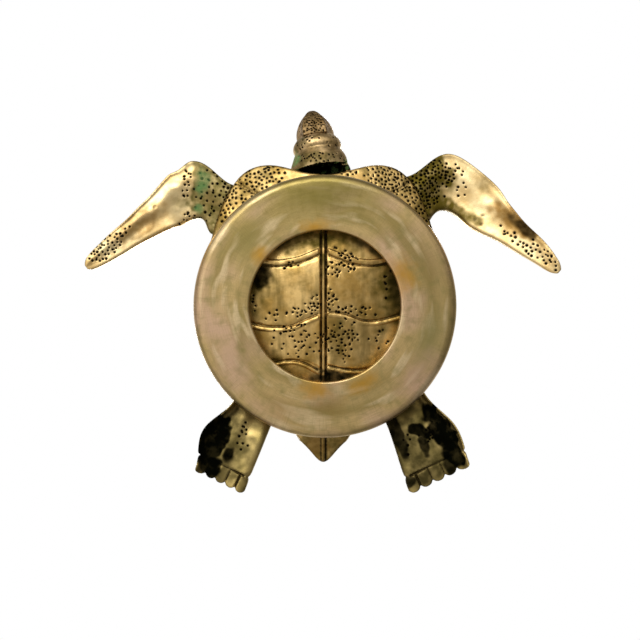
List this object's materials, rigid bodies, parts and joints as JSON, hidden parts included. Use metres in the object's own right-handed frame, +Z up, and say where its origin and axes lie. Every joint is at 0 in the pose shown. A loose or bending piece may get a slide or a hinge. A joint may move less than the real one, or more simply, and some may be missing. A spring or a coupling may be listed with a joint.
{
  "type": "turtle figurine",
  "caption": "Cast brass sea turtle with swept flippers and splayed feet, brazed onto a broad turned foot ring that it stands on.",
  "frame": {"origin": "centre of the foot ring's bore, in the plane that the ring rests on", "axes": "+Z up along the ring's axis, head towards -Y, the turtle's own left flipper towards +X"},
  "size_m": [0.2422, 0.1982, 0.0474],
  "materials": {
    "turned_brass": "turned and sanded, with heat stains at the bore",
    "belly_brass": "polished cast with dark patina in its seams and pits",
    "shell_brass": "polished cast with dark patina in its seams",
    "flipper_brass": "polished cast, punched and darkened at the shoulder",
    "foot_brass": "cast with a dark olive patina",
    "head_brass": "polished cast, punched and darkened",
    "braze": "braze metal as it set"
  },
  "bodies": {
    "root": {"foot_ring": "turned_brass", "plastron": "belly_brass", "carapace": "shell_brass", "neck": "head_brass", "head": "head_brass", "front_flipper_left": "flipper_brass", "front_flipper_right": "flipper_brass", "rear_foot_left": "foot_brass", "rear_foot_right": "foot_brass", "ring_braze_beads": "braze"}
  },
  "joints": []
}
